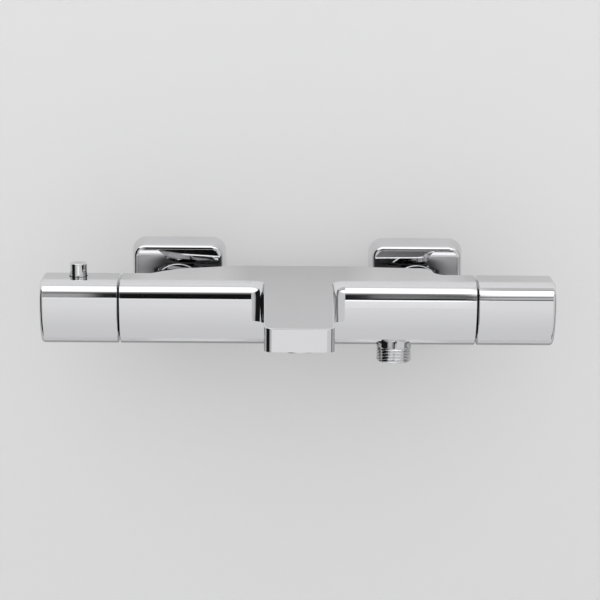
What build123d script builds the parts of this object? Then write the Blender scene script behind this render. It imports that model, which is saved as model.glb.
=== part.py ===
"""Wall-mounted thermostatic bath mixer, one file per separate piece.

Millimetres. X runs along the bar, +Y points into the wall, Z is up. The origin lies on the wall,
midway between the two supply threads.
"""

import os
from math import atan, cos, degrees, hypot, radians, sin, sqrt

from build123d import *

# Wall connections
supply_spacing = 150.0
union_drop = 3.0
bar_to_wall = 72.0
half_inch_thread_radius = 10.48
three_quarter_thread_radius = 13.22
wall_thread_length = 16.0

# Bar
bar_depth = 40.0
bar_top = 20.6
bar_bottom = -20.2
bar_top_radius = 10.5
bar_side_low = 6.0
bar_side_radius = 31.0
body_end = 107.4
body_end_chamfer = 0.4

# Top plate behind the bar. Its run-outs and corners count in from the plate's end; corners also
# give the distance in front of the back edge and the rounding.
plate_thickness = 3.0
plate_end_setback = 3.4
plate_back_edge = 33.2
plate_edge_run = 1.2
plate_edge_drop = 0.4
plate_run_out_radius = 10.0
plate_left_run_out = 12.0
plate_right_run_out = 13.5
plate_left_corners = [(20.5, 19.6, 12.0), (30.5, 11.4, 25.0), (54.0, 4.2, 40.0), (64.0, 0.0, 25.0)]
plate_right_corners = [(19.8, 21.3, 12.0), (23.2, 5.3, 7.0), (55.0, 3.0, 20.0), (64.0, 0.0, 25.0)]

# Spout
spout_reach = 190.0
spout_root_width = 41.2
spout_front_width = 39.4
spout_front_top = 13.8
spout_front_bottom = 0.4
spout_root_bottom = -2.7
spout_corner_radius = 5.0
spout_flare_radius = 8.0
spout_flare_sink = 0.01
spout_fall_length = 96.0
spout_rise_length = 89.0
spout_edge_radius = 0.5

# Handles
handle_start = 108.6
handle_end = 155.0
handle_end_radius = 2.0
handle_bore_radius = 16.3
handle_wall_start = 146.0
cap_margin = 3.0
cap_recess = 2.8
cap_thickness = 2.5
cap_clearance = 0.05
screw_seat = 149.0
screw_radius = 2.5
screw_head_radius = 4.5
screw_head_height = 3.0
screw_head_gap = 0.3
screw_socket_radius = 2.3
screw_socket_depth = 2.0
screw_hole_clearance = 0.1
screw_thread_clearance = 0.05
screw_tip = 132.0
hub_start = 127.0
hub_radius = 7.5
hub_flange_radius = 11.0
hub_flange_thickness = 2.0
hub_flat = 6.5
spindle_radius = 4.0
spindle_end = 142.2
running_clearance = 0.06

# Retaining nuts and stop rings
nut_start = 98.2
nut_end = 107.2
nut_boss_end = 112.6
nut_boss_flats = 23.0
nut_clearance = 0.05
seal_wire = 0.9
seal_groove_width = 2.1
seal_seat_gap = 0.02
ring_start = 108.9
ring_end = 111.9
ring_radius = 15.6
ring_clearance = 0.06

# Safety button
button_x = -133.0
button_radius = 5.1
button_height = 8.2
button_clearance = 0.08
button_flange_radius = 6.4
button_flange_top = 14.6
button_flange_thickness = 1.5
button_coil_radius = 2.9
button_wire_radius = 0.35
button_top_radius = 0.8
button_recess_gap = 0.75
button_recess_depth = 0.7

# Thermostat
thermostat_bore_radius = 14.0
thermostat_thread_radius = 15.05
thermostat_bore_start = 48.0
thermostat_housing_start = 48.3
thermostat_housing_end = 97.9
thermostat_radius = 13.93
thermostat_inner_radius = 10.6
thermostat_floor = 2.0
thermostat_outlet_circle = 6.6
thermostat_outlet_radius = 2.2
window_width = 7.0
hot_window = (57.2, 6.5)
cold_window = (77.5, 9.0)
thermostat_seal_places = (54.0, 67.5, 93.0)
slide_start = 60.5
slide_end = 75.5
slide_radius = 10.52
wax_radius = 6.5
wax_flange_radius = 9.0
wax_start = 57.0
wax_flange_start = 71.0
wax_flange_end = 73.0
wax_end = 78.0
wax_piston_radius = 1.6
wax_piston_end = 86.0
piston_cap_radius = 3.6
piston_cap_thickness = 1.5
slide_fit = 0.03
slide_shelf_thickness = 3.0
slide_bowl_radius = 8.9
slide_hole_circle = 7.7
slide_hole_radius = 0.9
return_coil_radius = 8.0
overload_coil_radius = 3.0
spring_wire_radius = 0.6
nose_start = 81.0
nose_radius = 6.4
nose_bore_radius = 4.1
nose_bore_end = 93.0
spindle_flange_start = 94.2
spindle_flange_end = 97.8
spindle_flange_radius = 10.2

# Diverter
diverter_bore_radius = 13.0
diverter_thread_radius = 14.05
diverter_bore_start = 86.0
seat_seal_end = 87.6
fixed_disc_end = 91.0
disc_gap = 0.05
moving_disc_end = 94.4
driver_end = 97.9
diverter_housing_end = 98.1
diverter_radius = 12.93
diverter_inner_radius = 11.3
disc_radius = 11.0
moving_disc_inset = 0.2
seat_seal_radius = 12.4
driver_radius = 10.6
port_circle = 7.0
port_radius = 3.8
seat_port_radius = 3.3
disc_port_radius = 3.1
passage_half_width = 2.6
passage_depth = 1.8
drive_tongue_width = 4.0
drive_tongue_length = 12.0
drive_tongue_height = 1.1
drive_tongue_clearance = 0.1

# Waterways in the body
thread_zone_start = 98.0
supply_bore_radius = 6.5
tail_socket_depth = 5.0
cold_channel_radius = 3.2
cold_channel_y = -56.8
cold_riser_radius = 2.4
cold_riser_y = -55.5
cold_port_radius = 2.8
cold_port_length = 7.0
cold_channel_height = 10.0
cold_port_x = 60.0
spout_channel_width = 26.0
spout_channel_floor = 2.6
spout_channel_ceiling = 11.8
spout_channel_setback = 33.0
aerator_setback = 17.0
aerator_radius = 11.0
aerator_clearance = 0.06
aerator_seat = 8.6
aerator_bottom = -1.9
aerator_chamber_radius = 9.0
aerator_chamber_top = 12.0
aerator_throat_width = 14.0
aerator_throat_margin = 0.2
aerator_wall = 1.6
aerator_lip_height = 1.2
aerator_lip_width = 0.9
aerator_edge_radius = 0.8
aerator_washer_thickness = 1.4
insert_rim = 1.2
insert_plate_thickness = 2.2
jet_pitch = 1.45
jet_radius = 0.9

# Shower outlet
shower_x = 58.7
outlet_neck_radius = 10.3
outlet_socket_clearance = 0.05
outlet_port_radius = 5.5
outlet_socket_top = -11.0
outlet_washer_thickness = 1.2
outlet_neck_end = -21.2
outlet_end = -30.6
outlet_chamfer = 1.0
outlet_bore_radius = 6.6
outlet_lip_radius = 5.0
outlet_lip_top = -27.0

# Unions behind the bar
union_bore_radius = 7.2
union_wide_bore_radius = 8.8
union_wide_bore_start = 13.0
collar_radius = 16.0
collar_end = 21.0
nut_thread_end = 33.0
washer_end = 35.0
tail_flange_end = 38.0
tail_flange_radius = 12.3
tail_radius = 9.0
tail_bore_radius = 7.2
tail_lip_radius = 6.0
tail_lip_start = 52.0
tail_fit = 0.03
union_nut_start = 24.0
union_nut_end = 42.0
union_nut_flats = 30.0
union_nut_gap = 0.3
washer_inset = 0.1

# Escutcheons
escutcheon_width = 59.6
escutcheon_depth = 20.0
escutcheon_narrowing = 2.0
escutcheon_corner_radius = 9.0
escutcheon_edge_radius = 3.0
escutcheon_wall = 1.6
escutcheon_hole_radius = 16.4
escutcheon_seal_radius = 18.8
escutcheon_seal_thickness = 1.8

# Non-return valves
valve_length = 13.0
valve_fit = 0.05
valve_wall = 1.2
valve_seat_thickness = 1.6
valve_seat_step = 1.9
valve_gap = 0.3
poppet_thickness = 1.4
poppet_stem_radius = 1.1
poppet_stem_end = 12.0
spider_start = 9.6
spider_thickness = 1.4
spider_hub_radius = 3.1
spider_arm_width = 1.5
spider_tip_gap = 0.6
valve_coil_radius = 2.2
valve_wire_radius = 0.3

axis_y = -bar_to_wall
axis_z = -union_drop
bar_front = axis_y - bar_depth / 2
bar_back = axis_y + bar_depth / 2
top_z = axis_z + bar_top
plate_half_length = body_end - plate_end_setback
plate_run_out = bar_back - bar_top_radius
supply_x = supply_spacing / 2
spout_fall_start = spout_reach - spout_fall_length
spout_rise_start = spout_reach - spout_rise_length
spout_channel_end = spout_reach - spout_channel_setback
aerator_y = aerator_setback - spout_reach
upright = (Align.CENTER, Align.CENTER, Align.MIN)

pieces = {}


def rod_x(radius, start, end, side=1, y=axis_y, z=axis_z, mode=Mode.ADD):
    """Round bar along X between two distances from the middle, on the right (1) or left (-1)."""
    low, high = sorted((side * start, side * end))
    with Locations(Plane((low, y, z), x_dir=(0, 1, 0), z_dir=(1, 0, 0))):
        Cylinder(radius, high - low, align=upright, mode=mode)


def rod_y(radius, start, end, x, z=axis_z, mode=Mode.ADD):
    """Round bar along Y between two distances in front of the wall."""
    with Locations(Plane((x, -start, z), x_dir=(1, 0, 0), z_dir=(0, -1, 0))):
        Cylinder(radius, end - start, align=upright, mode=mode)


def rod_z(radius, low, high, x, y=axis_y, mode=Mode.ADD):
    """Round bar along Z between two heights over the bar axis."""
    with Locations((x, y, axis_z + low)):
        Cylinder(radius, high - low, align=upright, mode=mode)


def bar_profile(margin=0.0):
    """Cross section of bar and handles, seen from the right, shrunk by the margin."""
    side = bar_depth / 2 - margin
    top = bar_top - margin
    radius = bar_top_radius - margin
    side_radius = bar_side_radius - margin
    low_height = bar_side_low - bar_bottom - margin
    beyond = side_radius - side
    low_radius = (side_radius**2 - beyond**2 - low_height**2) / 2 / (side_radius - low_height)
    turn = degrees(atan((low_height - low_radius) / beyond))
    low_centre = (0, bar_side_low - low_height + low_radius)
    with BuildSketch(Plane.XY) as section:
        with BuildLine():
            CenterArc((side - radius, top - radius), radius, 0, 90)
            Line((side - radius, top), (radius - side, top))
            CenterArc((radius - side, top - radius), radius, 90, 90)
            Line((-side, top - radius), (-side, bar_side_low))
            CenterArc((beyond, bar_side_low), side_radius, 180, turn)
            CenterArc(low_centre, low_radius, 180 + turn, 180 - 2 * turn)
            CenterArc((-beyond, bar_side_low), side_radius, -turn, turn)
            Line((side, bar_side_low), (side, top - radius))
        make_face()
    return section.sketch


def front_inset(level):
    """How far the bar's front lies behind its foremost line at a height over the axis."""
    if level < bar_side_low:
        return bar_side_radius - sqrt(bar_side_radius**2 - (bar_side_low - level) ** 2)
    rise = max(level - bar_top + bar_top_radius, 0)
    return bar_top_radius - sqrt(bar_top_radius**2 - rise**2)


def bar_length(low, high, margin=0.0):
    """Solid with the bar's cross section between two X values."""
    place = Plane((low, axis_y, axis_z), x_dir=(0, 1, 0), z_dir=(1, 0, 0))
    with BuildPart() as length:
        with BuildSketch(place):
            add(bar_profile(margin))
        extrude(amount=high - low)
    return length.part


def coil_spring(coil_radius, wire_radius, length, turns):
    """Spring along +Z from the origin, its wire inside the given length."""
    rise = length - 2 * wire_radius
    with BuildPart() as spring:
        with BuildLine(Plane.XY.offset(wire_radius)) as coil:
            Helix(pitch=rise / turns, height=rise, radius=coil_radius)
        with BuildSketch(Plane(origin=coil.line @ 0, z_dir=coil.line % 0)):
            Circle(wire_radius)
        sweep(is_frenet=True)
    return spring.part


def seal_ring(inner_radius, wire):
    """Round rubber ring about Z at the origin."""
    with BuildPart() as seal:
        Torus(inner_radius + wire, wire)
    return seal.part


def plate_outline(side, run_out, corners):
    """Corner points of one half of the plate, from its end inwards, each with its rounding."""
    points = [(side * (plate_half_length - run_out), plate_run_out, plate_run_out_radius)]
    for inward, forward, radius in corners:
        points.append((side * (plate_half_length - inward), -plate_back_edge - forward, radius))
    return points


# Top plate: straight at the back, an S-curve at each end running out where the bar's top is flat.
left_outline = plate_outline(-1, plate_left_run_out, plate_left_corners)
right_outline = plate_outline(1, plate_right_run_out, plate_right_corners)
plate_corners = left_outline + right_outline[::-1]
with BuildPart() as plate:
    with BuildSketch(Plane.XY.offset(top_z - plate_thickness)) as plate_plan:
        with BuildLine():
            Polyline(
                (-plate_half_length, axis_y),
                (-plate_half_length, plate_run_out),
                *[(x, y) for x, y, radius in plate_corners],
                (plate_half_length, plate_run_out),
                (plate_half_length, axis_y),
                close=True,
            )
        make_face()
        for x, y, radius in plate_corners:
            fillet(plate_plan.vertices().sort_by_distance((x, y))[0], radius)
    extrude(amount=plate_thickness)
    plate_top = plate.faces().sort_by(Axis.Z)[-1]
    plate_rim = plate_top.edges().filter_by(lambda edge: edge.center().Y > plate_run_out + 0.1)
    chamfer(plate_rim, length=plate_edge_run, length2=plate_edge_drop, reference=plate_top)

# Spout: its side view cut to its plan.
with BuildPart() as spout:
    with BuildSketch(Plane.YZ):
        with BuildLine():
            top_break = (-spout_fall_start, top_z)
            front_top_point = (-spout_reach, axis_z + spout_front_top)
            front_low_point = (-spout_reach, axis_z + spout_front_bottom)
            root_low = axis_z + spout_root_bottom
            Line((axis_y, top_z), top_break)
            TangentArc(top_break, front_top_point, tangent=(-1, 0))
            Polyline(
                front_top_point,
                front_low_point,
                (-spout_rise_start, root_low),
                (axis_y, root_low),
                (axis_y, top_z),
            )
        make_face()
    extrude(amount=spout_root_width, both=True)
    side_slope = (spout_root_width - spout_front_width) / 2 / (spout_reach + bar_front)
    with BuildSketch(Plane.XY.offset(axis_z + 2 * bar_bottom)):
        with BuildLine():
            inner_half = spout_root_width / 2 + side_slope * (axis_y - bar_front)
            front_half = spout_front_width / 2
            Polyline(
                (-inner_half, axis_y),
                (-front_half, -spout_reach),
                (front_half, -spout_reach),
                (inner_half, axis_y),
                close=True,
            )
        make_face()
    extrude(amount=4 * bar_top, mode=Mode.INTERSECT)
    upright_edges = spout.edges().filter_by(Axis.Z).sort_by(Axis.Y)
    fillet(upright_edges[:2], spout_corner_radius)
    falling_top = spout.faces().filter_by(GeomType.CYLINDER).sort_by(SortBy.AREA)[-1]
    rim = falling_top.edges().filter_by(lambda edge: edge.center().Y < -spout_fall_start - 1)
    fillet(rim, spout_edge_radius)


def flare_section(inset):
    """Plan of one corner between the bar's front and the spout's right side."""
    front = bar_front + inset + spout_flare_sink
    centre_y = front - spout_flare_radius
    stretch = hypot(1, side_slope)
    root_half = spout_root_width / 2 - spout_flare_sink
    side_at_centre = root_half + side_slope * (centre_y - bar_front)
    centre_x = side_at_centre + spout_flare_radius * stretch
    touch = (
        centre_x - spout_flare_radius / stretch,
        centre_y + spout_flare_radius * side_slope / stretch,
    )
    middle = radians(135)
    arc_middle = (
        centre_x + spout_flare_radius * cos(middle),
        centre_y + spout_flare_radius * sin(middle),
    )
    inner_x = touch[0] - 5
    with BuildSketch(Plane.XY) as corner:
        with BuildLine():
            ThreePointArc((centre_x, front), arc_middle, touch)
            Polyline(
                touch,
                (inner_x, touch[1]),
                (inner_x, front + 5),
                (centre_x, front + 5),
                (centre_x, front),
            )
        make_face()
    return corner.sketch


# Flare at the spout root, following the bar's front from under the spout up and round to its top.
with BuildPart() as flare:
    under_levels = [spout_root_bottom + (bar_side_low - spout_root_bottom) * step / 3 for step in range(4)]
    for level in under_levels:
        with BuildSketch(Plane.XY.offset(axis_z + level)):
            add(flare_section(front_inset(level)))
    loft()
    with BuildSketch(Plane.XY.offset(axis_z + bar_side_low)):
        add(flare_section(0))
    extrude(amount=bar_top - bar_top_radius - bar_side_low)
    for step in range(9):
        level = bar_top - bar_top_radius * (1 - sin(radians(90 * step / 8)))
        with BuildSketch(Plane.XY.offset(axis_z + level)):
            add(flare_section(front_inset(level)))
    loft()
    mirror(about=Plane.YZ)

with BuildPart() as body:
    add(bar_length(-body_end, body_end))
    for side in (-1, 1):
        end_face = body.faces().sort_by(Axis.X)[0 if side < 0 else -1]
        chamfer(end_face.edges(), body_end_chamfer)
    add(plate.part)
    add(spout.part)
    add(flare.part)

    # Thermostat bore on the left, diverter bore on the right, each with its nut thread.
    rod_x(thermostat_bore_radius, thermostat_bore_start, body_end, -1, mode=Mode.SUBTRACT)
    rod_x(thermostat_thread_radius, thread_zone_start, body_end, -1, mode=Mode.SUBTRACT)
    rod_x(diverter_bore_radius, diverter_bore_start, body_end, mode=Mode.SUBTRACT)
    rod_x(diverter_thread_radius, thread_zone_start, body_end, mode=Mode.SUBTRACT)

    # Sockets and bores for the two inlet tails.
    tail_end = -bar_back + tail_socket_depth
    hot_bore_end = -axis_y - thermostat_bore_radius + 2
    cold_bore_end = tail_end + 1
    for x, bore_end in ((-supply_x, hot_bore_end), (supply_x, cold_bore_end)):
        rod_y(tail_radius + tail_fit, -bar_back, tail_end, x, mode=Mode.SUBTRACT)
        rod_y(supply_bore_radius, -bar_back, bore_end, x, mode=Mode.SUBTRACT)

    # Cold water runs along the back to the thermostat.
    cold_z = axis_z + cold_channel_height
    rod_x(cold_channel_radius, -cold_port_x, supply_x, 1, cold_channel_y, cold_z, Mode.SUBTRACT)
    rod_z(cold_riser_radius, 0, cold_channel_height, supply_x, cold_riser_y, Mode.SUBTRACT)
    port_slope = Vector(0, axis_y - cold_channel_y, -cold_channel_height)
    with Locations(Plane((-cold_port_x, cold_channel_y, cold_z), z_dir=port_slope)):
        Cylinder(cold_port_radius, cold_port_length, align=upright, mode=Mode.SUBTRACT)

    # Mixed water to the diverter, then to the spout or down to the shower outlet.
    mixed_y = axis_y + port_circle
    bath_y = axis_y - port_circle
    low_z = axis_z - port_circle
    rod_x(port_radius, -thermostat_bore_start, diverter_bore_start, 1, mixed_y, axis_z, Mode.SUBTRACT)
    rod_x(port_radius, 0, diverter_bore_start, 1, bath_y, axis_z, Mode.SUBTRACT)
    rod_x(port_radius, shower_x, diverter_bore_start, 1, axis_y, low_z, Mode.SUBTRACT)
    socket_radius = outlet_neck_radius + outlet_socket_clearance
    rod_z(outlet_port_radius, outlet_socket_top - 1, -port_circle, shower_x, mode=Mode.SUBTRACT)
    rod_z(socket_radius, bar_bottom - 1, outlet_socket_top, shower_x, mode=Mode.SUBTRACT)

    # Spout channel, narrowing before the aerator.
    channel_height = spout_channel_ceiling - spout_channel_floor
    channel_back = bath_y + port_radius
    with Locations((0, channel_back, axis_z + spout_channel_floor)):
        Box(
            spout_channel_width,
            spout_channel_end + channel_back,
            channel_height,
            align=(Align.CENTER, Align.MAX, Align.MIN),
            mode=Mode.SUBTRACT,
        )
    throat_low = aerator_seat + aerator_throat_margin
    with Locations((0, 1 - spout_channel_end, axis_z + throat_low)):
        Box(
            aerator_throat_width,
            -aerator_y - spout_channel_end + 1,
            aerator_chamber_top - aerator_throat_margin - throat_low,
            align=(Align.CENTER, Align.MAX, Align.MIN),
            mode=Mode.SUBTRACT,
        )
    aerator_socket_radius = aerator_radius + aerator_clearance
    rod_z(aerator_socket_radius, spout_root_bottom, aerator_seat, 0, aerator_y, Mode.SUBTRACT)
    rod_z(aerator_chamber_radius, aerator_bottom, aerator_chamber_top, 0, aerator_y, Mode.SUBTRACT)
pieces["body"] = body.part


def handle(side, bore_radius=handle_bore_radius):
    """Hollow grip with an end wall, a screw seat and a recess for its end cap."""
    low, high = sorted((side * handle_start, side * handle_end))
    end = -1 if side > 0 else 0
    with BuildPart() as grip:
        add(bar_length(low, high))
        fillet(grip.faces().sort_by(Axis.X)[end].edges(), handle_end_radius)
        chamfer(grip.faces().sort_by(Axis.X)[-1 - end].edges(), body_end_chamfer)
        recess = sorted((side * (handle_end - cap_recess), side * (handle_end + 1)))
        add(bar_length(*recess, margin=cap_margin), mode=Mode.SUBTRACT)
        rod_x(bore_radius, handle_start, handle_wall_start, side, mode=Mode.SUBTRACT)
        rod_x(screw_head_radius + screw_head_gap, screw_seat, handle_end, side, mode=Mode.SUBTRACT)
        rod_x(screw_radius + screw_hole_clearance, handle_start, handle_end, side, mode=Mode.SUBTRACT)
    return grip.part


def end_cap(side):
    """Flat plate closing the recess in the handle's outer end."""
    seat = handle_end - cap_recess
    low, high = sorted((side * seat, side * (seat + cap_thickness)))
    with BuildPart() as cap:
        add(bar_length(low, high, margin=cap_margin + cap_clearance))
    return cap.part


def handle_screw(side):
    """Socket head screw that holds the handle on its spindle."""
    with BuildPart() as screw:
        rod_x(screw_radius, screw_tip, screw_seat, side)
        rod_x(screw_head_radius, screw_seat, screw_seat + screw_head_height, side)
        socket_x = side * (screw_seat + screw_head_height - screw_socket_depth)
        with BuildSketch(Plane((socket_x, axis_y, axis_z), x_dir=(0, 1, 0), z_dir=(side, 0, 0))):
            RegularPolygon(screw_socket_radius, 6)
        extrude(amount=screw_head_height, mode=Mode.SUBTRACT)
    return screw.part


def spline_hub(side, flat=False):
    """Plastic sleeve between handle and spindle."""
    flange_start = handle_wall_start - hub_flange_thickness
    with BuildPart() as hub:
        rod_x(hub_radius, hub_start, handle_wall_start, side)
        rod_x(hub_flange_radius, flange_start, handle_wall_start, side)
        rod_x(spindle_radius + running_clearance, hub_start, spindle_end + 0.3, side, mode=Mode.SUBTRACT)
        rod_x(
            screw_radius + screw_hole_clearance,
            spindle_end,
            handle_wall_start + 1,
            side,
            mode=Mode.SUBTRACT,
        )
        if flat:
            with Locations((button_x, axis_y, axis_z + hub_flat)):
                Box(10, 2 * hub_radius, hub_radius, align=upright, mode=Mode.SUBTRACT)
    return hub.part


def retaining_nut(side, thread_radius):
    """Screwed-in nut that holds the cartridge and carries the stop ring on its hexagon."""
    hexagon = nut_boss_flats / 2
    place = Plane((side * nut_end, axis_y, axis_z), x_dir=(0, 1, 0), z_dir=(side, 0, 0))
    groove_start = (nut_start + nut_end - seal_groove_width) / 2
    with BuildPart() as nut:
        rod_x(thread_radius - nut_clearance, nut_start, nut_end, side)
        with BuildSketch(place):
            RegularPolygon(hexagon, 6, major_radius=False)
        extrude(amount=nut_boss_end - nut_end)
        rod_x(spindle_radius + running_clearance, nut_start, nut_boss_end, side, mode=Mode.SUBTRACT)
        rod_x(
            spindle_radius + running_clearance + 2 * seal_wire,
            groove_start,
            groove_start + seal_groove_width,
            side,
            mode=Mode.SUBTRACT,
        )
    return nut.part


def stop_ring(side):
    """Plastic ring on the nut's hexagon that limits how far the handle turns."""
    place = Plane((side * ring_start, axis_y, axis_z), x_dir=(0, 1, 0), z_dir=(side, 0, 0))
    with BuildPart() as ring:
        with BuildSketch(place):
            Circle(ring_radius)
            RegularPolygon(nut_boss_flats / 2 + ring_clearance, 6, major_radius=False, mode=Mode.SUBTRACT)
        extrude(amount=ring_end - ring_start)
    return ring.part


def about_bar(piece, x):
    """The piece, built about Z at the origin, turned about the bar axis at X."""
    return piece.moved(Plane((x, axis_y, axis_z), x_dir=(0, 1, 0), z_dir=(1, 0, 0)).location)


seal_middle = (nut_start + nut_end) / 2
for side, name, thread_radius in (
    (-1, "temperature", thermostat_thread_radius),
    (1, "flow", diverter_thread_radius),
):
    pieces[f"{name}_end_cap"] = end_cap(side)
    pieces[f"{name}_handle_screw"] = handle_screw(side)
    pieces[f"{name}_hub"] = spline_hub(side, flat=side < 0)
    pieces[f"{name}_retaining_nut"] = retaining_nut(side, thread_radius)
    pieces[f"{name}_stop_ring"] = stop_ring(side)
    spindle_seal = seal_ring(spindle_radius + running_clearance, seal_wire)
    pieces[f"{name}_spindle_seal"] = about_bar(spindle_seal, side * seal_middle)
pieces["flow_handle"] = handle(1)

with BuildPart() as temperature_handle:
    add(handle(-1))
    rod_z(button_radius + button_clearance, 0, bar_top + 1, button_x, mode=Mode.SUBTRACT)
    recess_radius = button_radius + button_recess_gap
    rod_z(recess_radius, bar_top - button_recess_depth, bar_top + 1, button_x, mode=Mode.SUBTRACT)
pieces["temperature_handle"] = temperature_handle.part

# Safety button: a round pin kept in by its flange under the handle's wall.
with BuildPart() as safety_button:
    rod_z(button_radius, button_flange_top - 0.5, bar_top + button_height, button_x)
    top_rim = safety_button.edges().filter_by(GeomType.CIRCLE).sort_by(Axis.Z)[-1]
    fillet(top_rim, button_top_radius)
    flange_low = button_flange_top - button_flange_thickness
    rod_z(button_flange_radius, flange_low, button_flange_top, button_x)
pieces["safety_button"] = safety_button.part

button_spring_length = flange_low - hub_flat
button_spring = coil_spring(button_coil_radius, button_wire_radius, button_spring_length, 3.5)
pieces["button_spring"] = button_spring.moved(Location((button_x, axis_y, axis_z + hub_flat)))

# Temperature spindle: shaft, thrust flange and a hollow nose that takes the overload spring.
with BuildPart() as temperature_spindle:
    rod_x(spindle_radius, spindle_flange_start, spindle_end, -1)
    rod_x(spindle_flange_radius, spindle_flange_start, spindle_flange_end, -1)
    rod_x(nose_radius, nose_start, spindle_flange_start, -1)
    rod_x(nose_bore_radius, nose_start, nose_bore_end, -1, mode=Mode.SUBTRACT)
    rod_x(screw_radius + screw_thread_clearance, screw_tip - 1, spindle_end, -1, mode=Mode.SUBTRACT)
pieces["temperature_spindle"] = temperature_spindle.part

# Thermostat housing: sleeve with hot and cold windows and three seal grooves.
with BuildPart() as thermostat_housing:
    rod_x(thermostat_radius, thermostat_housing_start, thermostat_housing_end, -1)
    rod_x(
        thermostat_inner_radius,
        thermostat_housing_start + thermostat_floor,
        thermostat_housing_end,
        -1,
        mode=Mode.SUBTRACT,
    )
    for place in thermostat_seal_places:
        groove_end = Plane((-place - seal_groove_width / 2, axis_y, axis_z), z_dir=(1, 0, 0))
        with BuildSketch(groove_end):
            Circle(thermostat_radius + 1)
            Circle(thermostat_bore_radius - 2 * seal_wire - seal_seat_gap, mode=Mode.SUBTRACT)
        extrude(amount=seal_groove_width, mode=Mode.SUBTRACT)
    with Locations(Plane((-thermostat_housing_start, axis_y, axis_z), z_dir=(-1, 0, 0))):
        with PolarLocations(thermostat_outlet_circle, 6):
            Cylinder(
                thermostat_outlet_radius,
                thermostat_floor + 1,
                align=upright,
                mode=Mode.SUBTRACT,
            )
    for low, width in (hot_window, cold_window):
        window_x = -(low + width / 2)
        for turn in (0, 60, 120):
            across = (0, cos(radians(turn)), sin(radians(turn)))
            with Locations(Plane((window_x, axis_y, axis_z), x_dir=(1, 0, 0), z_dir=across)):
                Box(width, window_width, 3 * thermostat_radius, mode=Mode.SUBTRACT)
pieces["thermostat_housing"] = thermostat_housing.part

with BuildPart() as thermostat_seals:
    for place in thermostat_seal_places:
        ring_inner = thermostat_bore_radius - 2 * seal_wire
        add(about_bar(seal_ring(ring_inner, seal_wire), -place))
pieces["thermostat_seals"] = thermostat_seals.part

# Wax element: body with a flange, its piston and the piston's cap.
with BuildPart() as wax_element:
    rod_x(wax_radius, wax_start, wax_end, -1)
    rod_x(wax_flange_radius, wax_flange_start, wax_flange_end, -1)
    rod_x(wax_piston_radius, wax_end, wax_piston_end, -1)
    rod_x(piston_cap_radius, wax_piston_end - piston_cap_thickness, wax_piston_end, -1)
pieces["wax_element"] = wax_element.part

# Regulating slide: ring round the wax element, joined to it by its inner shelf.
shelf_start = wax_flange_start - slide_shelf_thickness
with BuildPart() as regulating_slide:
    rod_x(slide_radius, slide_start, slide_end, -1)
    rod_x(wax_flange_radius + slide_fit, wax_flange_start, slide_end, -1, mode=Mode.SUBTRACT)
    rod_x(wax_radius + slide_fit, slide_start, slide_end, -1, mode=Mode.SUBTRACT)
    rod_x(slide_bowl_radius, slide_start, shelf_start, -1, mode=Mode.SUBTRACT)
    with Locations(Plane((0.5 - shelf_start, axis_y, axis_z), z_dir=(-1, 0, 0))):
        with PolarLocations(slide_hole_circle, 8):
            Cylinder(slide_hole_radius, slide_shelf_thickness + 1, align=upright, mode=Mode.SUBTRACT)
pieces["regulating_slide"] = regulating_slide.part

return_length = shelf_start - (thermostat_housing_start + thermostat_floor)
return_spring = coil_spring(return_coil_radius, spring_wire_radius, return_length, 4.5)
pieces["return_spring"] = about_bar(return_spring, -shelf_start)
overload_length = nose_bore_end - wax_piston_end
overload_spring = coil_spring(overload_coil_radius, spring_wire_radius, overload_length, 3.0)
pieces["overload_spring"] = about_bar(overload_spring, -nose_bore_end)

# Diverter: seat seal, fixed disc, moving disc and their housing.
port_centres = ((port_circle, 0), (-port_circle, 0), (0, -port_circle))


def ported_disc(radius, start, end, hole_radius):
    """Round plate with the mixed water port, the bath port and the shower port."""
    with BuildPart() as disc:
        rod_x(radius, start, end)
        for across, up in port_centres:
            rod_x(hole_radius, start, end, 1, axis_y + across, axis_z + up, Mode.SUBTRACT)
    return disc.part


seat_seal = ported_disc(seat_seal_radius, diverter_bore_start, seat_seal_end, seat_port_radius)
pieces["diverter_seat_seal"] = seat_seal
fixed_disc = ported_disc(disc_radius, seat_seal_end, fixed_disc_end, disc_port_radius)
pieces["diverter_fixed_disc"] = fixed_disc

with BuildPart() as moving_disc:
    rod_x(disc_radius - moving_disc_inset, fixed_disc_end + disc_gap, moving_disc_end)
    with BuildSketch(Plane((fixed_disc_end, axis_y, axis_z), x_dir=(0, 1, 0), z_dir=(1, 0, 0))):
        Circle(port_circle + passage_half_width)
        Circle(port_circle - passage_half_width, mode=Mode.SUBTRACT)
        with Locations((0, -port_circle)):
            Rectangle(2 * disc_radius, 2 * port_circle, mode=Mode.SUBTRACT)
    extrude(amount=passage_depth, mode=Mode.SUBTRACT)
    slot_depth = drive_tongue_height + drive_tongue_clearance
    with Locations((moving_disc_end - slot_depth, axis_y, axis_z)):
        Box(
            2 * slot_depth,
            drive_tongue_width + drive_tongue_clearance,
            drive_tongue_length + drive_tongue_clearance,
            align=(Align.MIN, Align.CENTER, Align.CENTER),
            mode=Mode.SUBTRACT,
        )
pieces["diverter_moving_disc"] = moving_disc.part

with BuildPart() as diverter_spindle:
    rod_x(driver_radius, moving_disc_end, driver_end)
    with Locations((moving_disc_end - drive_tongue_height, axis_y, axis_z)):
        Box(
            2 * drive_tongue_height,
            drive_tongue_width,
            drive_tongue_length,
            align=(Align.MIN, Align.CENTER, Align.CENTER),
        )
    rod_x(spindle_radius, driver_end, spindle_end)
    rod_x(screw_radius + screw_thread_clearance, screw_tip - 1, spindle_end, mode=Mode.SUBTRACT)
pieces["diverter_spindle"] = diverter_spindle.part

with BuildPart() as diverter_housing:
    rod_x(diverter_radius, seat_seal_end, diverter_housing_end)
    rod_x(diverter_inner_radius, seat_seal_end, diverter_housing_end, mode=Mode.SUBTRACT)
pieces["diverter_housing"] = diverter_housing.part


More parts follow.
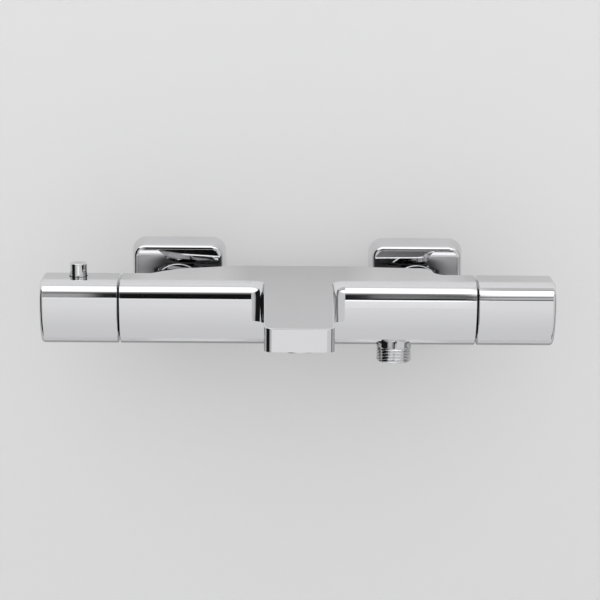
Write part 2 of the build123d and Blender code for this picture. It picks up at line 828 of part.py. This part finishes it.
def non_return_valve(bore_radius):
    """Housing, poppet and spring of a valve that opens towards +Z, its seat at the origin."""
    outer = bore_radius - valve_fit
    inner = outer - valve_wall
    seat_hole = inner - valve_seat_step
    with BuildPart() as housing:
        Cylinder(outer, valve_length, align=upright)
        with Locations((0, 0, valve_seat_thickness)):
            Cylinder(inner, valve_length, align=upright, mode=Mode.SUBTRACT)
        Cylinder(seat_hole, valve_length, align=upright, mode=Mode.SUBTRACT)
        with BuildSketch(Plane.XY.offset(spider_start)):
            Circle(spider_hub_radius)
            with PolarLocations(outer / 2, 3):
                Rectangle(outer - spider_tip_gap, spider_arm_width)
            Circle(poppet_stem_radius + running_clearance, mode=Mode.SUBTRACT)
        extrude(amount=spider_thickness)
    with BuildPart() as poppet:
        with Locations((0, 0, valve_seat_thickness + valve_gap)):
            Cylinder((seat_hole + inner) / 2, poppet_thickness, align=upright)
            Cylinder(
                poppet_stem_radius,
                poppet_stem_end - valve_seat_thickness - valve_gap,
                align=upright,
            )
    spring_start = valve_seat_thickness + valve_gap + poppet_thickness
    spring_length = spider_start - spring_start
    spring = coil_spring(valve_coil_radius, valve_wire_radius, spring_length, 4.0)
    return housing.part, poppet.part, spring.moved(Location((0, 0, spring_start)))


def add_valve(name, bore_radius, place):
    """Keep the three pieces of a non-return valve under one name."""
    housing, poppet, spring = non_return_valve(bore_radius)
    pieces[f"{name}_valve_housing"] = housing.moved(place)
    pieces[f"{name}_valve_poppet"] = poppet.moved(place)
    pieces[f"{name}_valve_spring"] = spring.moved(place)


def hexagon_y(flats, start, end, x, mode=Mode.ADD):
    """Hexagonal bar along Y, with a flat on top, between two distances in front of the wall."""
    with BuildSketch(Plane((x, -start, axis_z), x_dir=(1, 0, 0), z_dir=(0, -1, 0))) as section:
        RegularPolygon(flats / 2, 6, major_radius=False)
    extrude(section.sketch, amount=end - start, mode=mode)


for x, name in ((-supply_x, "hot"), (supply_x, "cold")):
    with BuildPart() as eccentric_union:
        rod_y(half_inch_thread_radius, -wall_thread_length, 0, x, 0)
        rod_y(collar_radius, 0, collar_end, x, 0)
        rod_y(three_quarter_thread_radius, collar_end, nut_thread_end, x)
        rod_y(union_bore_radius, -wall_thread_length, union_wide_bore_start, x, 0, Mode.SUBTRACT)
        rod_y(union_wide_bore_radius, union_wide_bore_start, nut_thread_end, x, axis_z, Mode.SUBTRACT)
    pieces[f"{name}_eccentric_union"] = eccentric_union.part

    wall_face = Plane((x, 0, 0), x_dir=(1, 0, 0), z_dir=(0, -1, 0))
    taper = degrees(atan(escutcheon_narrowing / escutcheon_depth))
    with BuildPart() as escutcheon:
        with BuildSketch(wall_face):
            RectangleRounded(escutcheon_width, escutcheon_width, escutcheon_corner_radius)
        extrude(amount=escutcheon_depth, taper=taper)
        front_face = escutcheon.faces().sort_by(Axis.Y)[0]
        fillet(front_face.edges(), escutcheon_edge_radius)
        hollow = escutcheon_width - 2 * escutcheon_wall
        hollow_corner = escutcheon_corner_radius - escutcheon_wall
        with BuildSketch(wall_face):
            RectangleRounded(hollow, hollow, hollow_corner)
        extrude(amount=escutcheon_depth - escutcheon_wall, taper=taper, mode=Mode.SUBTRACT)
        rod_y(escutcheon_hole_radius, -1, escutcheon_depth + 1, x, 0, Mode.SUBTRACT)
    pieces[f"{name}_escutcheon"] = escutcheon.part

    ring_front = escutcheon_depth - escutcheon_wall
    ring_back = ring_front - escutcheon_seal_thickness
    with BuildPart() as escutcheon_seal:
        rod_y(escutcheon_seal_radius, ring_back, ring_front, x, 0)
        rod_y(collar_radius + seal_seat_gap, ring_back, ring_front, x, 0, Mode.SUBTRACT)
    pieces[f"{name}_escutcheon_seal"] = escutcheon_seal.part

    with BuildPart() as union_washer:
        rod_y(tail_flange_radius - washer_inset, nut_thread_end, washer_end, x)
        rod_y(union_wide_bore_radius, nut_thread_end, washer_end, x, axis_z, Mode.SUBTRACT)
    pieces[f"{name}_union_washer"] = union_washer.part

    with BuildPart() as inlet_tail:
        rod_y(tail_flange_radius, washer_end, tail_flange_end, x)
        rod_y(tail_radius, tail_flange_end, tail_end, x)
        rod_y(tail_bore_radius, washer_end, tail_lip_start, x, axis_z, Mode.SUBTRACT)
        rod_y(tail_lip_radius, tail_lip_start, tail_end, x, axis_z, Mode.SUBTRACT)
    pieces[f"{name}_inlet_tail"] = inlet_tail.part

    with BuildPart() as union_nut:
        hexagon_y(union_nut_flats, union_nut_start, union_nut_end, x)
        thread_bore = three_quarter_thread_radius + nut_clearance
        rod_y(thread_bore, union_nut_start, tail_flange_end, x, axis_z, Mode.SUBTRACT)
        rod_y(tail_radius + union_nut_gap, union_nut_start, union_nut_end, x, axis_z, Mode.SUBTRACT)
    pieces[f"{name}_union_nut"] = union_nut.part

    flow = Plane((x, valve_length - tail_lip_start, axis_z), x_dir=(1, 0, 0), z_dir=(0, -1, 0))
    add_valve(name, tail_bore_radius, flow.location)

# Shower outlet: nipple with its washer and non-return valve.
with BuildPart() as shower_outlet:
    neck_top = outlet_socket_top - outlet_washer_thickness
    rod_z(half_inch_thread_radius, outlet_end, outlet_neck_end, shower_x)
    lower_rim = shower_outlet.edges().filter_by(GeomType.CIRCLE).sort_by(Axis.Z)[0]
    chamfer(lower_rim, outlet_chamfer)
    rod_z(outlet_neck_radius, outlet_neck_end, neck_top, shower_x)
    rod_z(outlet_bore_radius, outlet_lip_top, neck_top, shower_x, mode=Mode.SUBTRACT)
    rod_z(outlet_lip_radius, outlet_end, neck_top, shower_x, mode=Mode.SUBTRACT)
pieces["shower_outlet"] = shower_outlet.part

with BuildPart() as shower_washer:
    rod_z(outlet_neck_radius - washer_inset, neck_top, outlet_socket_top, shower_x)
    rod_z(outlet_bore_radius, neck_top, outlet_socket_top, shower_x, mode=Mode.SUBTRACT)
pieces["shower_washer"] = shower_washer.part

valve_top = axis_z + outlet_lip_top + valve_length
down = Plane((shower_x, axis_y, valve_top), x_dir=(1, 0, 0), z_dir=(0, 0, -1))
add_valve("shower", outlet_bore_radius, down.location)

# Aerator: housing, jet insert and washer.
insert_radius = aerator_radius - aerator_wall
insert_low = aerator_bottom + aerator_lip_height
mouth_radius = insert_radius - aerator_lip_width
washer_low = aerator_seat - aerator_washer_thickness
with BuildPart() as aerator_housing:
    rod_z(aerator_radius, aerator_bottom, washer_low, 0, aerator_y)
    mouth_rim = aerator_housing.edges().filter_by(GeomType.CIRCLE).sort_by(Axis.Z)[0]
    fillet(mouth_rim, aerator_edge_radius)
    rod_z(insert_radius, insert_low, washer_low, 0, aerator_y, Mode.SUBTRACT)
    rod_z(mouth_radius, aerator_bottom, washer_low, 0, aerator_y, Mode.SUBTRACT)
pieces["aerator_housing"] = aerator_housing.part

with BuildPart() as aerator_insert:
    jets_top = insert_low + insert_plate_thickness
    rod_z(insert_radius - valve_fit, insert_low, washer_low, 0, aerator_y)
    rod_z(insert_radius - insert_rim, jets_top, washer_low, 0, aerator_y, Mode.SUBTRACT)
    with Locations((0, aerator_y, axis_z + insert_low)):
        with HexLocations(jet_pitch, 5, 5):
            Cylinder(jet_radius, insert_plate_thickness + 0.3, align=upright, mode=Mode.SUBTRACT)
pieces["aerator_insert"] = aerator_insert.part

with BuildPart() as aerator_washer:
    rod_z(aerator_radius - washer_inset, washer_low, aerator_seat, 0, aerator_y)
    rod_z(aerator_chamber_radius - 1, washer_low, aerator_seat, 0, aerator_y, Mode.SUBTRACT)
pieces["aerator_washer"] = aerator_washer.part

os.makedirs("parts", exist_ok=True)
for name, piece in pieces.items():
    piece.label = name
    export_step(piece, f"parts/{name}.step")
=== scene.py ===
from math import cos, radians, sin, tau

import bmesh
import bpy
from mathutils import Matrix, Vector


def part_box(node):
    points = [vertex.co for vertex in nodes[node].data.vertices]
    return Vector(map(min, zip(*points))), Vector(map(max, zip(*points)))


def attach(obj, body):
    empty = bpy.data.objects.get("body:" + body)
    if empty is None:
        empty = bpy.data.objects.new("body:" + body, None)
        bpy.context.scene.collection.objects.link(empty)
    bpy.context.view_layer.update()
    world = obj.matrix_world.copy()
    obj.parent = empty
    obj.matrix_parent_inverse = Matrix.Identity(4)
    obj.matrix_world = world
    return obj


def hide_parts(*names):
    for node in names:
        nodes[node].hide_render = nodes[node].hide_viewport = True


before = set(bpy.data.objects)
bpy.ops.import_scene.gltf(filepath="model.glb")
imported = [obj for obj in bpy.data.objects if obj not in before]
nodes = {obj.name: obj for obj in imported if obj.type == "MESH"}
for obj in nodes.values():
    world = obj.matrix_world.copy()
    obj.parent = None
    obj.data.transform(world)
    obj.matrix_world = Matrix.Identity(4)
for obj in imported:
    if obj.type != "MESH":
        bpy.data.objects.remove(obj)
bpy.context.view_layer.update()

# Camera, in the photograph's place
camera_place = (-0.01177, -1.42600, 0.27521)
camera_down = radians(11.343)
camera_right = radians(0.551)
camera_roll = radians(0.480)
camera_lens = 136.348
sensor_width = 36.0

# Walls and floor
wall_gap = 0.0002
wall_reach = 1.3
wall_top = 0.9
wall_level = 0.81
floor_height = -0.55
floor_reach = 3.0
floor_level = 0.92

# Light
soft_below = 0.97
soft_above = 1.15
mirror_gain = 1.5
backdrop_level = 0.72

# Bar axis
axis_y = -0.072
axis_z = -0.003

# Pipe threads
thread_pitch = 0.001814
thread_depth = 0.0008
half_inch_radius = 0.01048
three_quarter_radius = 0.01322
rows_a_pitch = 12
points_round = 96
sharpest_smooth_edge = radians(38)

# Shower nipple, measured down from the bar's axis plane
nipple_neck = 0.0103
nipple_thread_start = 0.0242
nipple_thread_rise = 0.0004
nipple_lead_in = 0.001
nipple_bore = 0.0066
nipple_mouth = 0.005
nipple_mouth_length = 0.0036

# Wall unions, measured from the wall outwards
supply_spacing = 0.150
wall_thread_length = 0.016
wall_thread_tip = 0.0097
wall_bore = 0.0072
collar_radius = 0.016
collar_edge = 0.0005
collar_end = 0.021
bore_step = 0.013
union_bore = 0.0088
union_tip = 0.0124
union_end = 0.033
union_lead_in = 0.0008


class Number:
    """A number or colour inside a shader. Arithmetic on it adds Math nodes."""

    def __init__(self, shader, socket):
        self.shader = shader
        self.socket = socket

    def math(self, operation, *others):
        return self.shader.node("Math", {"operation": operation}, (self, *others))

    def __add__(self, other):
        return self.math("ADD", other)

    def __sub__(self, other):
        return self.math("SUBTRACT", other)

    def __mul__(self, other):
        return self.math("MULTIPLY", other)

    def __truediv__(self, other):
        return self.math("DIVIDE", other)

    def __rsub__(self, other):
        return self.shader.node("Math", {"operation": "SUBTRACT"}, (other, self))

    __radd__ = __add__
    __rmul__ = __mul__

    def from_node(self, output):
        """Another output of the same node."""
        return Number(self.shader, self.socket.node.outputs[output])


class Shader:
    """The nodes of one finish, or of the room's light."""

    def __init__(self, tree):
        self.tree = tree
        tree.nodes.clear()

    def node(self, kind, settings=None, inputs=(), output=0):
        made = self.tree.nodes.new("ShaderNode" + kind)
        for name, value in (settings or {}).items():
            if name == "stops":
                ramp = made.color_ramp.elements
                for place, level in value[2:]:
                    ramp.new(1.0)
                for stop, (place, level) in zip(ramp, value):
                    stop.position = place
                    stop.color = grey(level)
            else:
                setattr(made, name, value)
        places = inputs.items() if isinstance(inputs, dict) else enumerate(inputs)
        for place, value in places:
            if isinstance(value, Number):
                self.tree.links.new(value.socket, made.inputs[place])
            else:
                made.inputs[place].default_value = value
        if len(made.outputs):
            return Number(self, made.outputs[output])

    def ramp(self, amount, stops):
        """Colour read off a row of stops."""
        return self.node("ValToRGB", {"stops": sorted(stops)}, (amount,))

    def step(self, amount, low, high):
        """0 below low, 1 above high, with a soft change between."""
        settings = {"interpolation_type": "SMOOTHSTEP"}
        return self.node("MapRange", settings, {0: amount, 1: low, 2: high, 3: 0.0, 4: 1.0})

    def blend(self, kind, amount, first, second):
        """Two colours blended as a paint program does."""
        colours = {0: amount, 6: first, 7: second}
        return self.node("Mix", {"data_type": "RGBA", "blend_type": kind}, colours, 2)

    def mix(self, amount, first, second):
        """The first colour, turning into the second as the amount goes from 0 to 1."""
        return self.blend("MIX", amount, first, second)

    def speckle(self, scale, detail, stretch=(1, 1, 1)):
        """Cloudy noise over the piece, from 0 to 1, with spots 1 / scale metres wide."""
        place = self.node("TexCoord", output="Object")
        place = self.node("Mapping", inputs={0: place, 3: stretch})
        noise = {"Vector": place, "Scale": scale, "Detail": detail, "Roughness": 0.5}
        return self.node("TexNoise", inputs=noise)


def grey(level):
    return (level, level, level, 1.0)


def finish_of(name, colour, roughness, metal, bump_scale, bump_depth, bump_stretch, patches, coat):
    """A finish: colour with soft patches, roughness that varies, fine bumps and perhaps a clear coat."""
    material = bpy.data.materials.new(name)
    material.use_nodes = True
    shader = Shader(material.node_tree)
    cloud = shader.speckle(35.0, detail=4.0)
    fine = shader.speckle(900.0, detail=2.0)
    darker = tuple(part * (1 - patches) for part in colour)
    tint = shader.mix(cloud, (*darker, 1), (*colour, 1))
    low, high = roughness
    blur = low + (high - low) * (cloud * 0.6 + fine * 0.4)
    inputs = {"Base Color": tint, "Roughness": blur, "Metallic": metal}
    if coat:
        inputs["Coat Weight"], inputs["Coat Roughness"] = coat
    height = shader.speckle(bump_scale, 2.0, bump_stretch)
    bump = {"Height": height, "Distance": bump_depth, "Strength": 1.0}
    inputs["Normal"] = shader.node("Bump", inputs=bump)
    body = shader.node("BsdfPrincipled", inputs=inputs)
    shader.node("OutputMaterial", inputs=(body,))
    return material


def make_finishes():
    """Finishes of the pieces, by the record's slots. Each row gives the material's name, colour,
    roughness range, metalness, bump scale, bump depth, bump stretch and patches."""
    even = (1, 1, 1)
    turned = (1, 0.1, 1)
    rows = {
        "chrome": ("chrome_plate", (0.80, 0.80, 0.815), (0.025, 0.06), 1.0, 40, 0.00001, even, 0.015),
        "brass": ("turned_brass", (0.78, 0.60, 0.32), (0.18, 0.34), 1.0, 1500, 0.00002, turned, 0.12),
        "black_rubber": ("seal_rubber", (0.022, 0.022, 0.024), (0.45, 0.7), 0.0, 1200, 0.00003, even, 0.3),
        "grey_plastic": ("grey_moulding", (0.30, 0.31, 0.33), (0.35, 0.5), 0.0, 900, 0.00002, even, 0.1),
        "white_plastic": ("white_moulding", (0.80, 0.80, 0.78), (0.3, 0.45), 0.0, 900, 0.00002, even, 0.06),
        "ceramic": ("lapped_ceramic", (0.86, 0.85, 0.82), (0.1, 0.22), 0.0, 600, 0.00001, even, 0.06),
        "chromed_brass": ("chromed_brass", (0.78, 0.78, 0.79), (0.03, 0.08), 1.0, 60, 0.00001, even, 0.02),
        "blackened_brass": (
            "blackened_brass", (0.03, 0.028, 0.026), (0.35, 0.5), 1.0, 900, 0.00001, even, 0.2,
        ),
        "steel": ("drawn_steel", (0.58, 0.58, 0.6), (0.22, 0.38), 1.0, 1500, 0.00001, even, 0.12),
    }
    glaze = {"ceramic": (0.3, 0.08)}
    return {slot: finish_of(*row, coat=glaze.get(slot)) for slot, row in rows.items()}


def light_studio():
    """Soft light from all round, stronger from above. Mirrors see a white box overhead, a dark strip
    over the camera, a pale table in front, a dark left side and a grey right side. Bands are
    (angle in degrees, level); height is the angle above the horizon, aside the angle to the right."""
    world = bpy.data.worlds.new("studio")
    bpy.context.scene.world = world
    world.use_nodes = True
    shader = Shader(world.node_tree)
    way = shader.node("TexCoord", output="Generated")
    across = shader.node("SeparateXYZ", inputs=(way,))
    back = across.from_node("Y")
    up = across.from_node("Z")
    ahead = 0.0 - back
    height = up.math("ARCTAN2", ahead) / tau + 0.5
    aside = across.math("ARCTAN2", ahead) / tau + 0.5

    def at(angle):
        return angle / 360 + 0.5

    def bands(amount, levels):
        return shader.ramp(amount, [(at(angle), level) for angle, level in levels])

    front = bands(height, [
        (-180, 0.40), (-105, 0.45), (-60, 0.475), (-25, 0.53), (-12, 0.56), (1, 0.64), (2, 0.12),
        (24, 0.05), (30, 0.07), (36, 0.22), (40, 0.34), (42, 1.0), (76, 1.0), (78, 0.56), (84, 0.56),
        (85.5, 0.44), (87, 0.44), (88.5, 0.56), (180, 0.56),
    ])
    strip = shader.ramp(across * 4 + 0.5, [
        (0.0, 0.20), (0.10, 0.26), (0.16, 0.22), (0.185, 0.003), (0.60, 0.003), (0.655, 0.01),
        (0.665, 0.11), (0.72, 0.13), (0.80, 0.10), (0.828, 0.09), (0.834, 0.012), (0.846, 0.012),
    ])
    streaks = shader.node("Mapping", inputs={0: way, 3: (30, 30, 90)})
    cloudy = {"Vector": streaks, "Scale": 1.0, "Detail": 3.0, "Roughness": 0.6}
    streaks = shader.node("TexNoise", inputs=cloudy)
    strip = shader.blend("MULTIPLY", 1.0, strip, shader.step(streaks, 0.36, 0.64) * 1.5 + 0.35)
    on_right = shader.step(across, 0.0, 0.03)
    dark_foot = on_right * (1 - shader.step(height, at(5), at(8)))
    strip = shader.mix(dark_foot, strip, grey(0.008))
    handle = bands(height, [
        (-180, 0.40), (-105, 0.45), (-60, 0.475), (-25, 0.53), (-12, 0.56), (-3, 0.60), (-1.5, 0.06),
        (3, 0.06), (4.5, 0.36), (17, 0.36), (18.5, 0.10), (22, 0.10), (23.5, 0.5), (29, 0.55), (33, 1.0),
        (64, 1.0), (66, 0.24), (70, 0.24), (72, 0.38), (88, 0.40), (89, 0.56), (180, 0.56),
    ])
    over_foot = shader.step(height, at(0.2), at(1.2))
    white_line = on_right * shader.step(height, at(-11.4), at(-11.0)) * (1 - over_foot)
    front = shader.mix(white_line, front, grey(0.95))
    in_strip = over_foot * (1 - shader.step(height, at(22), at(36)))
    front = shader.mix(in_strip, front, strip)
    front = shader.mix(shader.step(across, 0.0855, 0.0885), front, handle)
    sides = bands(aside, [
        (-180, 0.10), (-100, 0.05), (-92, 0.006), (-48, 0.006), (-40, 0.30), (-20, 0.42), (15, 0.45),
        (70, 0.45), (76, 0.14), (150, 0.14), (180, 0.2),
    ])
    to_side = shader.step(across.math("ABSOLUTE"), 0.24, 0.34) * (1 - shader.step(up, 0.60, 0.70))
    mirrored = shader.mix(to_side, front, sides)
    mirrored = shader.node("VectorMath", {"operation": "SCALE"}, {0: mirrored, 3: mirror_gain})
    soft = shader.mix(shader.step(up, 0.3, 0.9), grey(soft_below), grey(soft_above))
    in_mirror = shader.node("LightPath", output="Is Glossy Ray")
    seen = in_mirror.from_node("Is Camera Ray")
    light = shader.node("Background", inputs=(shader.mix(in_mirror, soft, mirrored), 1.0))
    backdrop = shader.node("Background", inputs=(grey(backdrop_level), 1.0))
    both = shader.node("MixShader", inputs=(seen, light, backdrop))
    shader.node("OutputWorld", inputs=(both,))


def flat_sheet(name, corners):
    mesh = bpy.data.meshes.new(name)
    mesh.from_pydata(corners, [], [tuple(range(len(corners)))])
    sheet = bpy.data.objects.new(name, mesh)
    bpy.context.scene.collection.objects.link(sheet)
    return sheet


def paint(name, level, one_sided):
    """Matt paint with a faint cloudiness and painted shade that makes it darker towards the bottom. The
    one-sided wall is clear from behind, and mirrors see a painted reflection of it: lighter beside the
    spout, a painted shadow just under the bar, and nearly black at the second bounce."""
    material = bpy.data.materials.new(name)
    material.use_nodes = True
    shader = Shader(material.node_tree)
    cloud = shader.speckle(3.0, detail=3.0)
    place = shader.node("TexCoord", output="Object")
    across = shader.node("SeparateXYZ", inputs=(place,))
    height = across.from_node("Z")
    # Painted shade: the paint turns darker towards the bottom, where less light falls from above.
    colour = shader.mix(shader.step(height, -0.30, 0.20), grey(level * 0.93), grey(level))
    if one_sided:
        # Painted reflection: in mirrors the wall shows set tones by height and by distance from the middle,
        # lighter beside the spout.
        aside = across.math("ABSOLUTE")
        low = shader.ramp(aside * 4, [(0.0, 0.69), (0.12, 0.69), (0.2, 0.84), (0.38, 0.84), (0.44, 0.70)])
        high = shader.ramp(aside * 4, [(0.0, 0.70), (0.09, 0.70), (0.14, 0.88), (1.0, 0.88)])
        mirrored = shader.mix(shader.step(height, 0.03, 0.08), low, high)
        # Painted shadow: in mirrors the wall is darker just under the bar.
        painted_shadow_under_bar = shader.step(height, -0.16, -0.12) * (1 - shader.step(height, -0.03, -0.015))
        mirrored = shader.mix(painted_shadow_under_bar, mirrored, grey(0.40))
        in_mirror = shader.node("LightPath", output="Is Glossy Ray")
        colour = shader.mix(in_mirror, colour, mirrored)
        # Painted reflection: at the second mirror bounce the wall shows nearly black near the middle and mid
        # grey further out.
        twice = shader.step(in_mirror.from_node("Glossy Depth"), 1.4, 1.6)
        second = shader.mix(shader.step(aside, 0.088, 0.104), grey(0.05), grey(0.5))
        colour = shader.mix(twice, colour, second)
    colour = shader.blend("MULTIPLY", 1.0, colour, cloud * 0.02 + 0.98)
    body = shader.node("BsdfPrincipled", inputs={"Base Color": colour, "Roughness": 0.9})
    if one_sided:
        behind = shader.node("NewGeometry", output="Backfacing")
        clear = shader.node("BsdfTransparent")
        body = shader.node("MixShader", inputs=(behind, body, clear))
    shader.node("OutputMaterial", inputs=(body,))
    return material


def build_studio():
    """Wall behind the mixer and floor below it."""
    x, y, low = wall_reach, wall_gap, floor_height
    wall = flat_sheet("wall", [(-x, y, low), (x, y, low), (x, y, wall_top), (-x, y, wall_top)])
    wall.data.materials.append(paint("wall_paint", wall_level, True))
    x = floor_reach
    floor = flat_sheet("floor", [(-x, -x, low), (x, -x, low), (x, y, low), (-x, y, low)])
    floor.data.materials.append(paint("floor_paint", floor_level, False))
    floor.visible_glossy = False


def place_camera():
    camera = bpy.data.objects.new("camera", bpy.data.cameras.new("camera"))
    camera.data.lens = camera_lens
    camera.data.sensor_width = sensor_width
    level = cos(camera_down)
    ahead = Vector((sin(camera_right) * level, cos(camera_right) * level, -sin(camera_down)))
    side = Vector((cos(camera_right), -sin(camera_right), 0))
    top = side.cross(ahead)
    rolled_side = side * cos(camera_roll) + top * sin(camera_roll)
    rolled_top = top * cos(camera_roll) - side * sin(camera_roll)
    turn = Matrix((rolled_side, rolled_top, -ahead)).transposed()
    camera.matrix_world = Matrix.Translation(camera_place) @ turn.to_4x4()
    bpy.context.scene.collection.objects.link(camera)
    bpy.context.scene.camera = camera
    bpy.context.scene.view_settings.view_transform = "Standard"


def dress_nodes(finishes):
    """Give every carried-over solid the finish of its slot. The escutcheons stay out of the plate's
    reflection of the wall, and out of the light that falls there."""
    for name, node in nodes.items():
        for slot in node.material_slots:
            finish = slot.material.name.split(".")[0]
            if name.endswith(("retaining_nut", "stop_ring")):
                finish = "blackened_brass"
            if name.endswith("inlet_tail"):
                finish = "chromed_brass"
            slot.material = finishes[finish]
        if name.endswith("escutcheon"):
            node.visible_glossy = False
            node.visible_diffuse = False
            node.visible_shadow = False


def thread_cut(along, start, end, angle):
    """Depth of the thread's groove at a place along the pipe and round it, running out at both ends."""
    turn = ((along - start) / thread_pitch - angle / tau) % 1.0
    side = abs(2 * turn - 1)
    run_out = min((along - start) / thread_pitch / 0.6, (end - along) / thread_pitch / 0.4, 1.0)
    return thread_depth * side * side * (3 - 2 * side) * max(run_out, 0.0)


def turned_piece(name, place, profile, body, node, finish):
    """Closed pipe turned about its own axis. The profile gives (along, radius, axis drop, threaded),
    down the outside and back up the bore; a threaded row starts a thread that ends at the next row."""
    rows = []
    for here, ahead in zip(profile, profile[1:] + profile[:1]):
        along, radius, drop, threaded = here
        steps = 1
        if threaded:
            steps = max(int((ahead[0] - along) / thread_pitch * rows_a_pitch), 1)
        for step in range(steps):
            share = step / steps
            now = along + (ahead[0] - along) * share
            wide = radius + (ahead[1] - radius) * share
            rows.append((now, wide, drop, (along, ahead[0]) if threaded else None))
    mesh = bpy.data.meshes.new(name)
    made = bmesh.new()
    rings = []
    for along, radius, drop, thread in rows:
        ring = []
        for point in range(points_round):
            angle = tau * point / points_round
            wide = radius - thread_cut(along, *thread, angle) if thread else radius
            ring.append(made.verts.new(place @ Vector((wide * cos(angle), wide * sin(angle) + drop, along))))
        rings.append(ring)
    for ring, following in zip(rings, rings[1:] + rings[:1]):
        for point in range(points_round):
            beside = (point + 1) % points_round
            made.faces.new((ring[point], ring[beside], following[beside], following[point]))
    bmesh.ops.recalc_face_normals(made, faces=made.faces)
    for face in made.faces:
        face.smooth = True
    for edge in made.edges:
        edge.smooth = edge.calc_face_angle(0) < sharpest_smooth_edge
    made.to_mesh(mesh)
    made.free()
    piece = bpy.data.objects.new(name, mesh)
    bpy.context.scene.collection.objects.link(piece)
    mesh.materials.append(finish)
    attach(piece, body)
    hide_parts(node)
    return piece


def cut_threads(finishes):
    """Shower nipple and the two wall unions, with their pipe threads."""
    low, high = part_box("shower_outlet")
    centre = (low[0] + high[0]) / 2
    top, end = -high[2], -low[2]
    half_turn = Matrix(((1, 0, 0), (0, -1, 0), (0, 0, -1))).to_4x4()
    down = Matrix.Translation((centre, axis_y, 0)) @ half_turn
    mouth = end - nipple_mouth_length
    profile = [
        (top, nipple_neck, 0, False), (nipple_thread_start - nipple_thread_rise, nipple_neck, 0, False),
        (nipple_thread_start, half_inch_radius, 0, True), (end - nipple_lead_in, half_inch_radius, 0, False),
        (end, half_inch_radius - nipple_lead_in, 0, False), (end, nipple_mouth, 0, False),
        (mouth, nipple_mouth, 0, False), (mouth, nipple_bore, 0, False), (top, nipple_bore, 0, False),
    ]
    chrome = finishes["chrome"]
    turned_piece("threaded_shower_nipple", down, profile, "mixer", "shower_outlet", chrome)
    outward = Matrix(((1, 0, 0), (0, 0, -1), (0, 1, 0))).to_4x4()
    tip = -wall_thread_length
    collar_side = collar_radius - collar_edge
    profile = [
        (tip, wall_thread_tip, 0, False), (tip + union_lead_in, half_inch_radius, 0, True),
        (0.0, half_inch_radius, 0, False), (0.0, collar_side, 0, False),
        (collar_edge, collar_radius, 0, False), (collar_end - collar_edge, collar_radius, 0, False),
        (collar_end, collar_side, 0, False), (collar_end, three_quarter_radius, axis_z, True),
        (union_end - union_lead_in, three_quarter_radius, axis_z, False),
        (union_end, union_tip, axis_z, False), (union_end, union_bore, axis_z, False),
        (bore_step, union_bore, axis_z, False), (bore_step, wall_bore, 0, False), (tip, wall_bore, 0, False),
    ]
    plated = finishes["chromed_brass"]
    for side, name in ((-1, "hot"), (1, "cold")):
        place = Matrix.Translation((side * supply_spacing / 2, 0, 0)) @ outward
        node = f"{name}_eccentric_union"
        turned_piece(f"{name}_threaded_union", place, profile, "mixer", node, plated)


finishes = make_finishes()
dress_nodes(finishes)
cut_threads(finishes)
light_studio()
build_studio()
place_camera()
